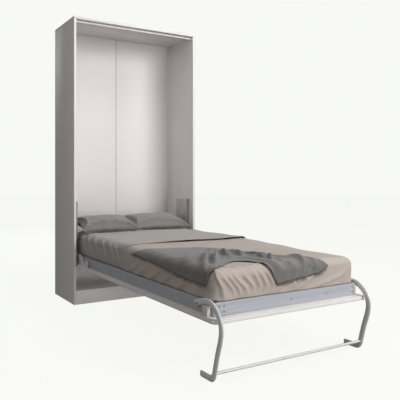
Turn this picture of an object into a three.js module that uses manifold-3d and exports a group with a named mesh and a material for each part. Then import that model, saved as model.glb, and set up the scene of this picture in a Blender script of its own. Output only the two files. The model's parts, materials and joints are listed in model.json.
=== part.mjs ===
// Vertical single wall bed: a shallow cabinet that stands against a wall and a bed that folds down
// out of it on two side pivots. Millimetres, +X across the width, +Y back towards the wall, +Z up.
// The bed is modelled folded down. Heights on the bed are counted from its outer face, which is its
// underside when it is down and its front when it is up.
import * as THREE from 'three';
import { mergeVertices } from 'three/addons/utils/BufferGeometryUtils.js';
import Module from 'manifold-3d';

const wasm = await Module();
wasm.setup();

// ---- driving dimensions -------------------------------------------------------------------------
const GAP = 0.3;                                   // air left between pieces that touch
const BOARD = 18;                                  // cabinet board thickness
const CABINET = { width: 1064, depth: 450, height: 2150 };
const PLINTH_HEIGHT = 103;
const BACK = { thick: 4, inset: 20, floorGap: 8 }; // back skins and how far in from the rear they sit
const FIXING_RAIL = { height: 82, lowerZ: 108 };
const BATTEN_WIDTH = 60;
const STOP_STRIP = { y: 24, depth: 18, z: 2113, height: 10 };

const PIVOT = { y: 32, z: 308, pinRadius: 8 };
const PIVOT_PLATE = { thick: 3, y: 7, width: 120, height: 130 };
const HOUSING = { depth: 30, skin: 2, y: 57, width: 168, z: 488, height: 277 };
const STRUT = { x: 499, topY: 138, topZ: 713, lowY: 156, lowZ: 332, tubeRadius: 8, rodRadius: 4,
  tubeStart: 16, tubeEnd: 218, bore: 190, eyeRadius: 9, eyeHalf: 4, neckWidth: 10, neckThick: 6,
  anchorRadius: 4.5, anchorClear: 1.5, boreClear: 0.5, rodGap: 12 };

const BED_Z = PIVOT.z - 32;                        // outer face of the bed when it is down
const DOOR = { halfWidth: 510, footY: -1789, headY: 232, thick: 14, cornerRadius: 26, bevel: 1.5 };
const DECK = { thick: 7.7, inset: 3 };             // inner board lining the door
const FRAME = { halfWidth: 480, footY: -1743, headY: 214, height: 66, sheet: 3, corner: 18,
  lip: 14, flange: 17, shelf: 24, shelfHeight: 27 };
// bolt holes through the foot rail: position across, height above the rail's lower edge
const FOOT_HOLES = [[-449, 46], [-421, 46], [-421, 18], [0, 30], [248, 30], [449, 46], [449, 18]];
const FOOT_HOLE_RADIUS = 2.6;
const SLAT = { count: 9, width: 58, thick: 8, pitch: 205 };
const MATTRESS = { halfWidth: 450, footY: -1718, length: 1895, thick: 176, radius: 34, bevel: 12 };
const COVER = { thick: 18, halfWidth: 466, skirtZ: 90, footY: -1736, clear: 2, edge: 8 };
const FOLD_LINE_Y = -745;                          // where the turned-back sheet meets the duvet
const SHEET_HEAD_Y = 165;
const THROW = { thick: 10, headY: -890, footY: -1700, reach: 60, flapDrop: 82, footFlap: [-140, 240],
  footDrop: 100 };
const PILLOW = { length: 440, width: 300, height: 136, tilt: 0.06, squareness: 0.55, gap: 4 };
const PILLOW_PLACES = { pillow_left: [-229, 66], pillow_right: [218, 78] };

// side plate that turns on the pivot pin: ends of its foot, then the rest of its outline as y, z
const BRACKET = { standOff: 4, thick: 5, base: [-128, 118], top: [[172, 320], [172, 346], [70, 372],
  [-12, 376]] };
const BLOCKS = {
  hinge_block: { x: [486.4, 500], y: [-178, -136], top: 344 },
  leg_stop_block: { x: [484, 504], y: [-1722, -1680], top: 345.5 },
};

const LEG = { x: 490.5, pivotY: -1623, pivotZ: 344, thick: 13, depth: 26, holeRadius: 4.6, sides: 16,
  steps: 44, barRadius: 6, barOut: 141, barUp: -300, boltHeadRadius: 8, boltHeadThick: 3 };
// centre line of a leg from its bolt: distance out past the foot of the bed, height
const LEG_ROUTE = [[-24, -5], [22, 9], [67, 20], [114, 17], [156, -9], [184, -47], [195, -86],
  [189, -134], [168, -200], [151, -262], [139, -306], [122, -327], [92, -330.7], [32, -330.7]];

// ---- materials ----------------------------------------------------------------------------------
const finish = (color, roughness, metalness = 0) =>
  new THREE.MeshStandardMaterial({ color, roughness, metalness });
const WHITE_BOARD = finish(0xdedad8, 0.55);
const FRONT_BOARD = finish(0xe4e1de, 0.45);
const FRAME_STEEL = finish(0x9aa0ab, 0.45, 0.55);
const WHITE_STEEL = finish(0xd6d3cf, 0.4, 0.1);
const PLATED_STEEL = finish(0x9b9894, 0.35, 0.8);
const ZINC = finish(0x8c8a88, 0.35, 0.9);
const BLACK_TUBE = finish(0x1d1d1f, 0.35, 0.3);
const BEECH = finish(0xc9a77a, 0.6);
const BLOCK_WHITE = finish(0xd8d4cb, 0.5);
const TICKING = finish(0xe6e4df, 0.9);
const SHEET_GREY = finish(0xa9a49e, 0.9);
const DUVET_TAUPE = finish(0xb5a79b, 0.92);
const THROW_GREY = finish(0x6f6e6d, 0.95);
const PILLOW_GREY = finish(0x7b7a79, 0.9);

// ---- geometry helpers ---------------------------------------------------------------------------
const bedZ = (height) => BED_Z + height;

function toSolid(geometry) {
  const bare = geometry.clone();
  bare.deleteAttribute('normal');
  bare.deleteAttribute('uv');
  const merged = mergeVertices(bare, 1e-4);
  const corners = merged.index.array;
  const triVerts = [];
  for (let i = 0; i < corners.length; i += 3) {
    const [a, b, c] = corners.slice(i, i + 3);
    if (a !== b && b !== c && c !== a) triVerts.push(a, b, c);   // a pole's slivers are dropped
  }
  return new wasm.Manifold(new wasm.Mesh({
    numProp: 3,
    vertProperties: new Float32Array(merged.attributes.position.array),
    triVerts: new Uint32Array(triVerts),
  }));
}

function toGeometry(solid) {
  const mesh = solid.getMesh();
  const geometry = new THREE.BufferGeometry();
  geometry.setAttribute('position', new THREE.BufferAttribute(mesh.vertProperties, 3));
  geometry.setIndex(new THREE.BufferAttribute(mesh.triVerts, 1));
  geometry.computeVertexNormals();
  return geometry;
}

function cut(geometry, tools) {
  return toGeometry(tools.reduce((rest, tool) => rest.subtract(toSolid(tool)), toSolid(geometry)));
}

function join(pieces) {
  return toGeometry(pieces.slice(1).reduce((sum, piece) => sum.add(toSolid(piece)), toSolid(pieces[0])));
}

// box between two corners
function block(x0, x1, y0, y1, z0, z1) {
  return new THREE.BoxGeometry(x1 - x0, y1 - y0, z1 - z0)
    .translate((x0 + x1) / 2, (y0 + y1) / 2, (z0 + z1) / 2);
}

// closed outline of [a, b] points
function outline(points) {
  return new THREE.Shape(points.map(([a, b]) => new THREE.Vector2(a, b)));
}

// outline in the XZ plane, run along Y from y0 to y1
function alongY(points, y0, y1) {
  return new THREE.ExtrudeGeometry(outline(points), { depth: y1 - y0, bevelEnabled: false })
    .rotateX(Math.PI / 2).translate(0, y1, 0);
}

// outline in the YZ plane, run along X from x0 to x1
function alongX(points, x0, x1) {
  return new THREE.ExtrudeGeometry(outline(points), { depth: x1 - x0, bevelEnabled: false })
    .rotateY(Math.PI / 2).rotateX(Math.PI / 2).translate(x0, 0, 0);
}

// round bar along X
function barX(radius, x0, x1, y, z, sides = 32) {
  return new THREE.CylinderGeometry(radius, radius, x1 - x0, sides)
    .rotateZ(Math.PI / 2).translate((x0 + x1) / 2, y, z);
}

// round bar along Y
function barY(radius, y0, y1, x, z, sides = 16) {
  return new THREE.CylinderGeometry(radius, radius, y1 - y0, sides).translate(x, (y0 + y1) / 2, z);
}

function roundedRect(x0, x1, y0, y1, radius) {
  const shape = new THREE.Shape();
  shape.moveTo(x0 + radius, y0);
  shape.lineTo(x1 - radius, y0);
  shape.absarc(x1 - radius, y0 + radius, radius, -Math.PI / 2, 0);
  shape.lineTo(x1, y1 - radius);
  shape.absarc(x1 - radius, y1 - radius, radius, 0, Math.PI / 2);
  shape.lineTo(x0 + radius, y1);
  shape.absarc(x0 + radius, y1 - radius, radius, Math.PI / 2, Math.PI);
  shape.lineTo(x0, y0 + radius);
  shape.absarc(x0 + radius, y0 + radius, radius, Math.PI, Math.PI * 1.5);
  return shape;
}

// mirror image across the middle of the bed, faces kept pointing out
function mirrored(geometry) {
  const flat = geometry.index ? geometry.toNonIndexed() : geometry.clone();
  flat.scale(-1, 1, 1);
  const position = flat.attributes.position;
  const point = (i) => [position.getX(i), position.getY(i), position.getZ(i)];
  for (let i = 0; i < position.count; i += 3) {
    const [second, third] = [point(i + 1), point(i + 2)];
    position.setXYZ(i + 1, ...third);
    position.setXYZ(i + 2, ...second);
  }
  flat.computeVertexNormals();
  return flat;
}

// ---- the assembly -------------------------------------------------------------------------------
const group = new THREE.Group();
group.position.y = -BOARD / 2;                     // origin: middle of the plinth board's underside

function add(name, geometry, material) {
  const mesh = new THREE.Mesh(geometry, material);
  mesh.name = name;
  group.add(mesh);
}

// right-hand piece as given, and its mirror image on the left
function addPair(name, geometry, material) {
  add(`${name}_right`, geometry, material);
  add(`${name}_left`, mirrored(geometry), material);
}

const HALF = CABINET.width / 2;
const INNER = HALF - BOARD;                        // inner face of a side panel
const BACK_Y = CABINET.depth - BACK.inset;         // front face of the back skins
const UNDER_TOP = CABINET.height - BOARD;

// ---- cabinet ------------------------------------------------------------------------------------
function cabinetBoards() {
  addPair('side_panel', block(INNER, HALF, 0, CABINET.depth, 0, UNDER_TOP - GAP), WHITE_BOARD);
  add('top_panel', block(-HALF, HALF, 0, CABINET.depth, UNDER_TOP, CABINET.height), WHITE_BOARD);
  const inside = INNER - GAP;
  add('plinth_board', block(-inside, inside, 0, BOARD, 0, PLINTH_HEIGHT), WHITE_BOARD);
  add('top_stop_strip', block(-inside, inside, STOP_STRIP.y, STOP_STRIP.y + STOP_STRIP.depth,
    STOP_STRIP.z, STOP_STRIP.z + STOP_STRIP.height), WHITE_BOARD);
}

function cabinetBack() {
  const inside = INNER - GAP;
  const top = UNDER_TOP - GAP;
  const railFront = BACK_Y + BACK.thick + GAP;
  addPair('back_panel', block(0.6, inside, BACK_Y, BACK_Y + BACK.thick, BACK.floorGap, top),
    WHITE_BOARD);
  const lowerTop = FIXING_RAIL.lowerZ + FIXING_RAIL.height;
  const upperLow = top - FIXING_RAIL.height;
  add('lower_fixing_rail', block(-inside, inside, railFront, CABINET.depth,
    FIXING_RAIL.lowerZ, lowerTop), WHITE_BOARD);
  add('upper_fixing_rail', block(-inside, inside, railFront, CABINET.depth, upperLow, top),
    WHITE_BOARD);
  add('back_batten', block(-BATTEN_WIDTH / 2, BATTEN_WIDTH / 2, railFront, CABINET.depth,
    lowerTop + GAP, upperLow - GAP), WHITE_BOARD);
}

// steel plate on the side panel that carries the pivot pin
function pivotMounts() {
  const { thick, y, width, height } = PIVOT_PLATE;
  const outer = INNER - GAP;
  const plateInner = outer - thick;
  const plate = cut(
    block(plateInner, outer, y, y + width, PIVOT.z - height / 2, PIVOT.z + height / 2),
    [barX(PIVOT.pinRadius + GAP, plateInner - 1, outer + 1, PIVOT.y, PIVOT.z)]);
  addPair('pivot_plate', plate, PLATED_STEEL);
  addPair('pivot_pin', barX(PIVOT.pinRadius, FRAME.halfWidth + 1.5, outer, PIVOT.y, PIVOT.z),
    ZINC);
}

// sheet-steel cover over the lifting strut: face, top and rear walls, open towards the room
function strutHousings() {
  const outer = INNER - GAP;
  const inner = INNER - HOUSING.depth;
  const { y, z, width, height, skin } = HOUSING;
  const shell = join([
    block(inner, inner + skin, y, y + width, z, z + height),
    block(inner, outer, y, y + width, z + height - skin, z + height),
    block(inner, outer, y + width - skin, y + width, z, z + height),
  ]);
  const hole = barX(STRUT.anchorRadius + STRUT.anchorClear, inner - 1, inner + skin + 1,
    STRUT.topY, STRUT.topZ, 24);
  addPair('housing_cover', cut(shell, [hole]), PLATED_STEEL);
  addPair('strut_anchor_pin', barX(STRUT.anchorRadius, inner - 1.5, outer, STRUT.topY, STRUT.topZ, 24),
    ZINC);
}

// ---- lifting struts -----------------------------------------------------------------------------
// A strut is drawn hanging straight down from its anchor and then turned to point at its lower end.
function placeStrut(geometry) {
  const lean = Math.atan2(STRUT.lowY - STRUT.topY, STRUT.topZ - STRUT.lowZ);
  return geometry.rotateX(lean).translate(STRUT.x, STRUT.topY, STRUT.topZ);
}

function strutTube() {
  const { tubeRadius, rodRadius, tubeStart, tubeEnd, bore, boreClear, eyeHalf, neckWidth,
    neckThick } = STRUT;
  const boreTop = bore - tubeEnd;
  const boreRadius = rodRadius + boreClear;
  const profile = [[0, boreTop], [boreRadius, boreTop], [boreRadius, -tubeEnd], [tubeRadius, -tubeEnd],
    [tubeRadius, -tubeStart], [0, -tubeStart]];
  const body = new THREE.LatheGeometry(profile.map(([r, z]) => new THREE.Vector2(r, z)), 28)
    .rotateX(Math.PI / 2);
  const eye = join([
    barX(STRUT.eyeRadius, -eyeHalf, eyeHalf, 0, 0, 24),
    block(-neckThick / 2, neckThick / 2, -neckWidth / 2, neckWidth / 2, -tubeStart - 2, -2),
    body,
  ]);
  return cut(eye, [barX(STRUT.anchorRadius + 0.4, -2 * eyeHalf, 2 * eyeHalf, 0, 0, 24)]);
}

function strutRod() {
  const length = Math.hypot(STRUT.topZ - STRUT.lowZ, STRUT.lowY - STRUT.topY);
  const { eyeHalf } = STRUT;
  const inTube = STRUT.tubeEnd - STRUT.bore + STRUT.rodGap;
  const rod = new THREE.CylinderGeometry(STRUT.rodRadius, STRUT.rodRadius, length - inTube, 20)
    .rotateX(Math.PI / 2).translate(0, 0, -(length + inTube) / 2);
  const eye = barX(STRUT.eyeRadius, -eyeHalf, eyeHalf, 0, -length, 24);
  return cut(join([rod, eye]),
    [barX(STRUT.anchorRadius, -2 * eyeHalf, 2 * eyeHalf, 0, -length, 24)]);
}

function liftingStruts() {
  addPair('strut_tube', placeStrut(strutTube()), BLACK_TUBE);
  addPair('strut_rod', placeStrut(strutRod()), ZINC);
}

// ---- bed front and steel frame ------------------------------------------------------------------
// board with the bed's outline, foot corners rounded, lying between two heights
function bedBoard(inset, low, high, bevel) {
  const shape = roundedRect(-DOOR.halfWidth + inset + bevel, DOOR.halfWidth - inset - bevel,
    DOOR.footY + inset + bevel, DOOR.headY - inset - bevel, DOOR.cornerRadius - inset);
  const depth = high - low - 2 * bevel;
  const options = bevel
    ? { depth, bevelEnabled: true, bevelThickness: bevel, bevelSize: bevel, bevelSegments: 2,
      curveSegments: 10 }
    : { depth, bevelEnabled: false, curveSegments: 10 };
  return new THREE.ExtrudeGeometry(shape, options).translate(0, 0, low + bevel);
}

function bedBoards() {
  add('front_panel', bedBoard(0, bedZ(0), bedZ(DOOR.thick), DOOR.bevel), FRONT_BOARD);
  const low = bedZ(DOOR.thick + GAP);
  add('deck_panel', bedBoard(DECK.inset, low, low + DECK.thick, 0), FRONT_BOARD);
}

const FRAME_LOW = bedZ(DOOR.thick + DECK.thick + 2 * GAP);
const FRAME_TOP = bedZ(DOOR.thick + DECK.thick + FRAME.height);
const SHELF_TOP = FRAME_LOW + FRAME.shelfHeight;

// rolled rail section: web, top lip, slat shelf and bottom flange, all on the inner side.
// Its web's outer face is at a = 0 and its inner side is towards +a.
function railSection(withShelf) {
  const { sheet, lip, flange, shelf } = FRAME;
  const points = [[0, FRAME_LOW], [flange, FRAME_LOW], [flange, FRAME_LOW + sheet],
    [sheet, FRAME_LOW + sheet]];
  if (withShelf) {
    points.push([sheet, SHELF_TOP - sheet], [shelf, SHELF_TOP - sheet], [shelf, SHELF_TOP],
      [sheet, SHELF_TOP]);
  }
  points.push([sheet, FRAME_TOP - sheet], [lip, FRAME_TOP - sheet], [lip, FRAME_TOP],
    [0, FRAME_TOP]);
  return points;
}

function sideRails() {
  const section = railSection(true).map(([a, z]) => [FRAME.halfWidth - a, z]).reverse();
  const y0 = FRAME.footY + FRAME.corner + GAP;
  addPair('side_rail', alongY(section, y0, FRAME.headY), FRAME_STEEL);
}

function endRails() {
  const foot = railSection(false).map(([a, z]) => [FRAME.footY + a, z]);
  const reach = FRAME.halfWidth - FRAME.corner - GAP;
  const holes = FOOT_HOLES.map(([x, up]) =>
    barY(FOOT_HOLE_RADIUS, FRAME.footY - 1, FRAME.footY + FRAME.sheet + 1, x, FRAME_LOW + up));
  add('foot_rail', cut(alongX(foot, -reach, reach), holes), FRAME_STEEL);
  const head = railSection(false).map(([a, z]) => [FRAME.headY + GAP + FRAME.sheet - a, z]).reverse();
  const headReach = FRAME.halfWidth - FRAME.shelf - 3;
  const headSection = head.map(([y, z]) => [y - FRAME.sheet - 2 * GAP, z]);
  add('head_rail', alongX(headSection, -headReach, headReach), FRAME_STEEL);
}

// quarter-round sheet corner that joins the foot rail to a side rail
function cornerPlates() {
  const { corner, sheet, footY, halfWidth } = FRAME;
  const centre = [halfWidth - corner, footY + corner];
  const shape = new THREE.Shape();
  shape.absarc(centre[0], centre[1], corner, -Math.PI / 2, 0);
  shape.absarc(centre[0], centre[1], corner - sheet, 0, -Math.PI / 2, true);
  const plate = new THREE.ExtrudeGeometry(shape, {
    depth: FRAME_TOP - FRAME_LOW, bevelEnabled: false, curveSegments: 12 }).translate(0, 0, FRAME_LOW);
  addPair('corner_plate', plate, FRAME_STEEL);
}

// triangular plate standing on the deck beside a side rail, turning on the pivot pin
function hingeBrackets() {
  const x0 = FRAME.halfWidth + BRACKET.standOff;
  const x1 = x0 + BRACKET.thick;
  const base = BRACKET.base.map((y) => [y, FRAME_LOW]);
  const plate = cut(alongX([...base, ...BRACKET.top], x0, x1),
    [barX(PIVOT.pinRadius + GAP, x0 - 1, x1 + 1, PIVOT.y, PIVOT.z)]);
  addPair('hinge_bracket', plate, WHITE_STEEL);
  addPair('strut_pin', barX(STRUT.anchorRadius - 0.5, x1 + GAP, STRUT.x - STRUT.eyeHalf - 1,
    STRUT.lowY, STRUT.lowZ, 24), ZINC);
}

function blocks() {
  for (const [name, { x, y, top }] of Object.entries(BLOCKS)) {
    addPair(name, block(x[0], x[1], y[0], y[1], FRAME_LOW, top), BLOCK_WHITE);
  }
}

function slats() {
  const reach = FRAME.halfWidth - FRAME.sheet - GAP;
  for (let i = 0; i < SLAT.count; i += 1) {
    const y = (i - (SLAT.count - 1) / 2) * SLAT.pitch + (FRAME.footY + FRAME.headY) / 2;
    add(`slat_${i + 1}`, block(-reach, reach, y - SLAT.width / 2, y + SLAT.width / 2,
      SHELF_TOP + GAP, SHELF_TOP + GAP + SLAT.thick), BEECH);
  }
}

// ---- folding leg frame --------------------------------------------------------------------------
function legGeometry() {
  const route = new THREE.CatmullRomCurve3(
    LEG_ROUTE.map(([out, up]) => new THREE.Vector3(0, LEG.pivotY - out, LEG.pivotZ + up)));
  const oval = new THREE.Shape();
  oval.absellipse(0, 0, LEG.thick / 2, LEG.depth / 2, 0, Math.PI * 2);
  const tube = new THREE.ExtrudeGeometry(oval, { steps: LEG.steps, curveSegments: LEG.sides / 2,
    bevelEnabled: false, extrudePath: route });
  const reach = LEG.thick;
  return cut(tube, [barX(LEG.holeRadius, -reach, reach, LEG.pivotY, LEG.pivotZ, 24)])
    .translate(LEG.x, 0, 0);
}

function legFrame() {
  addPair('leg', legGeometry(), WHITE_STEEL);
  const reach = LEG.x - LEG.thick / 2 - GAP;
  add('leg_crossbar', barX(LEG.barRadius, -reach, reach, LEG.pivotY - LEG.barOut,
    LEG.pivotZ + LEG.barUp, 20), WHITE_STEEL);
  const headStart = LEG.x + LEG.thick / 2 + 1;
  const head = barX(LEG.boltHeadRadius, headStart, headStart + LEG.boltHeadThick, LEG.pivotY,
    LEG.pivotZ, 6);
  const shank = barX(LEG.holeRadius - 0.4, FRAME.halfWidth + GAP, headStart + 1, LEG.pivotY,
    LEG.pivotZ, 24);
  addPair('leg_pivot_bolt', join([shank, head]), ZINC);
}

// ---- mattress and bedding -----------------------------------------------------------------------
const MATTRESS_LOW = SHELF_TOP + SLAT.thick + 2 * GAP;
const MATTRESS_TOP = MATTRESS_LOW + MATTRESS.thick;
const SKIRT_LOW = bedZ(COVER.skirtZ);

function mattress() {
  const { bevel } = MATTRESS;
  const shape = roundedRect(-MATTRESS.halfWidth + bevel, MATTRESS.halfWidth - bevel,
    MATTRESS.footY + bevel, MATTRESS.footY + MATTRESS.length - bevel, MATTRESS.radius);
  add('mattress', new THREE.ExtrudeGeometry(shape, { depth: MATTRESS.thick - 2 * bevel,
    bevelEnabled: true, bevelThickness: bevel, bevelSize: bevel, bevelSegments: 3, curveSegments: 6 })
    .translate(0, 0, MATTRESS_LOW + bevel), TICKING);
}

// cover over the mattress: a top with a skirt down each side
function coverSection(halfWidth, top) {
  const { clear, edge } = COVER;
  const inner = MATTRESS.halfWidth + clear;
  return [[-halfWidth, SKIRT_LOW], [-inner, SKIRT_LOW], [-inner, MATTRESS_TOP + clear],
    [inner, MATTRESS_TOP + clear], [inner, SKIRT_LOW], [halfWidth, SKIRT_LOW],
    [halfWidth, top - edge], [halfWidth - edge, top], [-halfWidth + edge, top],
    [-halfWidth, top - edge]];
}

const COVER_TOP = MATTRESS_TOP + COVER.clear + COVER.thick;

function covers() {
  const duvetTop = alongY(coverSection(COVER.halfWidth, COVER_TOP), COVER.footY, FOLD_LINE_Y - 1);
  const footSkirt = block(-MATTRESS.halfWidth - 4, MATTRESS.halfWidth + 4, COVER.footY,
    MATTRESS.footY - 2, SKIRT_LOW, MATTRESS_TOP + 4);
  add('duvet', join([duvetTop, footSkirt]), DUVET_TAUPE);
  add('bed_sheet', alongY(coverSection(COVER.halfWidth - 4, COVER_TOP), FOLD_LINE_Y + 1, SHEET_HEAD_Y),
    SHEET_GREY);
}

// throw laid across the duvet, hanging over the left edge and over the foot
function throwBlanket() {
  const { thick, headY, footY, reach, flapDrop, footFlap, footDrop } = THROW;
  const low = COVER_TOP + 1;
  const outer = -COVER.halfWidth - 1 - thick;
  const section = [[outer, low - flapDrop], [outer + thick, low - flapDrop], [outer + thick, low],
    [reach, low], [reach, low + thick], [outer + 6, low + thick], [outer, low + thick - 6]];
  const [x0, x1] = footFlap;
  const faceY = COVER.footY - 1;
  add('throw_blanket', join([
    alongY(section, footY, headY),
    block(x0, x1, faceY - thick, footY + 300, low, low + thick),
    block(x0, x1, faceY - thick, faceY, low - footDrop, low + thick),
  ]), THROW_GREY);
}

function pillow() {
  const { length, width, height, squareness } = PILLOW;
  const [columns, rows] = [16, 12];
  const cushion = new THREE.SphereGeometry(1, columns, rows).rotateX(Math.PI / 2);
  const position = cushion.attributes.position;
  const square = (value) => Math.sign(value) * Math.abs(value) ** squareness;
  for (let i = 0; i < position.count; i += 1) {
    position.setXYZ(i, square(position.getX(i)) * length / 2, square(position.getY(i)) * width / 2,
      position.getZ(i) * height / 2);
  }
  return cushion;
}

function pillows() {
  const { tilt, height, width } = PILLOW;
  const lift = (height * Math.cos(tilt) + width * 0.6 * Math.sin(tilt)) / 2;
  for (const [name, [x, y]] of Object.entries(PILLOW_PLACES)) {
    const cushion = toGeometry(toSolid(pillow())).rotateX(tilt)
      .translate(x, y, COVER_TOP + PILLOW.gap + lift);
    add(name, cushion, PILLOW_GREY);
  }
}

cabinetBoards();
cabinetBack();
pivotMounts();
strutHousings();
liftingStruts();
bedBoards();
sideRails();
endRails();
cornerPlates();
hingeBrackets();
blocks();
slats();
legFrame();
mattress();
covers();
throwBlanket();
pillows();

export default group;
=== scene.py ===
import json
import math

import bmesh
import bpy
import numpy as np
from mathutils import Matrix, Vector
from mathutils.bvhtree import BVHTree


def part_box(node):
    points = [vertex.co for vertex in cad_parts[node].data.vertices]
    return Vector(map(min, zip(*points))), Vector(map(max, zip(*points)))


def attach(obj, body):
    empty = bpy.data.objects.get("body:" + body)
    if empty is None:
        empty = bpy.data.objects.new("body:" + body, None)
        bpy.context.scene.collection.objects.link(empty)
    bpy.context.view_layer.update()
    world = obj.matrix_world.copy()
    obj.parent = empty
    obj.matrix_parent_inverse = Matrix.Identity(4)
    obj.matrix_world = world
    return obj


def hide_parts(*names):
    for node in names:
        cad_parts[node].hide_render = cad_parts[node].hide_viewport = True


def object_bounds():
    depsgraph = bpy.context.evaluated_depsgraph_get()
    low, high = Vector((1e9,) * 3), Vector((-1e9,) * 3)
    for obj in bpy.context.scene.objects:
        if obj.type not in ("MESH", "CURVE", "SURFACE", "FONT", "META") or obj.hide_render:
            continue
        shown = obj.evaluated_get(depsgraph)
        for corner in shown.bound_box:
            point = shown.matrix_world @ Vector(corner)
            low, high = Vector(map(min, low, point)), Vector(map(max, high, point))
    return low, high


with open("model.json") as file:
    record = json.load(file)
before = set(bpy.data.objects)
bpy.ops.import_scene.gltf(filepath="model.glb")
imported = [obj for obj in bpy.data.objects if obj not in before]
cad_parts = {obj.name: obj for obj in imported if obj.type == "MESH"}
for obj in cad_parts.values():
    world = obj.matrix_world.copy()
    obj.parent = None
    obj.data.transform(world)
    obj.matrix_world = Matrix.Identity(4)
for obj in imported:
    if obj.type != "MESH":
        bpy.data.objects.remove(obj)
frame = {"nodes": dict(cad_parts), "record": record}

CAD_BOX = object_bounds()
BODY_OF = {n: b for b, nodes in frame["record"]["behaviour"]["bodies"].items() for n in nodes}
SLOT_OF = {s["node"]: s["material_slot"] for s in frame["record"]["subparts"]}
MM = 0.001


# ---- camera, light and floor ---------------------------------------------------------------------
CAMERA_PLACE = (-1.893, -3.794, 0.9515)
CAMERA_TURN = -0.5304                               # radians to the right of straight at the wall
LENS, SENSOR = 47.91, 36
LENS_SHIFT = (0.0655, -0.0575)
PALE = (0.938, 0.947, 0.905)
SKY_LOW, SKY_HIGH = 0.07, 0.30                      # light from below and from overhead
# size, power, place, point aimed at and tint of each soft lamp
LAMPS = {
    "key": (2.6, 185, (2.3, -5.0, 3.2), (0, -0.4, 0.9), (1.0, 0.985, 0.965)),
    "over": (2.4, 40, (0.7, -1.4, 4.3), (0, -1.0, 0.4), (1, 1, 1)),
    "left": (2.0, 30, (-4.2, -3.2, 2.6), (-0.5, -0.5, 0.9), (1.0, 0.97, 0.95)),
    "low_front": (3.0, 200, (0.5, -9.5, 0.1), (-0.1, 0.4, 0.15), (1, 1, 1)),
    "rear": (2.6, 130, (0.6, 5.2, 3.2), (0, 0.4, 1.0), (1, 1, 1)),
}


def make_camera():
    lens_data = bpy.data.cameras.new("camera")
    lens_data.lens = LENS
    lens_data.sensor_width = SENSOR
    lens_data.shift_x, lens_data.shift_y = LENS_SHIFT
    lens_data.clip_end = 60
    camera = bpy.data.objects.new("camera", lens_data)
    camera.location = CAMERA_PLACE
    camera.rotation_euler = (math.radians(90), 0, CAMERA_TURN)
    bpy.context.scene.collection.objects.link(camera)
    bpy.context.scene.camera = camera


def make_light(name, size, power, place, aim, tint):
    data = bpy.data.lights.new(name, "AREA")
    data.shape = "DISK"
    data.size = size
    data.energy = power
    data.color = tint
    lamp = bpy.data.objects.new(name, data)
    lamp.location = place
    lamp.rotation_euler = (Vector(aim) - Vector(place)).to_track_quat("-Z", "Y").to_euler()
    lamp.visible_camera = False
    bpy.context.scene.collection.objects.link(lamp)


def stage_mesh(name, mesh, color, strength, diffuse):
    """Plain pale surface of the set. It glows evenly, and casts no light on the bed."""
    paint = bpy.data.materials.new(name + "_paint")
    paint.use_nodes = True
    shader = paint.node_tree.nodes["Principled BSDF"]
    shader.inputs["Base Color"].default_value = (diffuse, diffuse, diffuse, 1)
    shader.inputs["Roughness"].default_value = 1.0
    shader.inputs["Specular IOR Level"].default_value = 0.0
    shader.inputs["Emission Color"].default_value = (*color, 1)
    shader.inputs["Emission Strength"].default_value = strength
    mesh.materials.append(paint)
    piece = bpy.data.objects.new(name, mesh)
    bpy.context.scene.collection.objects.link(piece)
    piece.visible_diffuse = False
    piece.visible_glossy = False
    piece.visible_shadow = False
    return piece


def make_studio():
    world = bpy.data.worlds.new("studio")
    bpy.context.scene.world = world
    world.use_nodes = True
    nodes, links = world.node_tree.nodes, world.node_tree.links
    background = nodes["Background"]
    background.inputs["Color"].default_value = (1.0, 0.975, 0.96, 1)
    upward = nodes.new("ShaderNodeSeparateXYZ")
    links.new(nodes.new("ShaderNodeTexCoord").outputs["Generated"], upward.inputs[0])
    fall = nodes.new("ShaderNodeMapRange")
    for index, value in ((1, -1.0), (2, 1.0), (3, SKY_LOW), (4, SKY_HIGH)):
        fall.inputs[index].default_value = value
    links.new(upward.outputs[2], fall.inputs[0])
    links.new(fall.outputs[0], background.inputs["Strength"])
    for name, settings in LAMPS.items():
        make_light(name, *settings)

    floor_mesh = bpy.data.meshes.new("floor")
    reach = 24
    floor_mesh.from_pydata([(-reach, -reach, 0), (reach, -reach, 0), (reach, reach, 0), (-reach, reach, 0)],
                           [], [(0, 1, 2, 3)])
    floor = stage_mesh("floor", floor_mesh, PALE, 0.965, 0.05)
    floor.location.z = CAD_BOX[0][2] - 0.5 * MM

    dome_mesh = bpy.data.meshes.new("backdrop")
    dome = bmesh.new()
    bmesh.ops.create_uvsphere(dome, u_segments=32, v_segments=16, radius=reach)
    dome.to_mesh(dome_mesh)
    dome.free()
    stage_mesh("backdrop", dome_mesh, PALE, 1.0, 0.0)


make_camera()
make_studio()
bpy.context.scene.view_settings.view_transform = "Standard"


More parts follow.
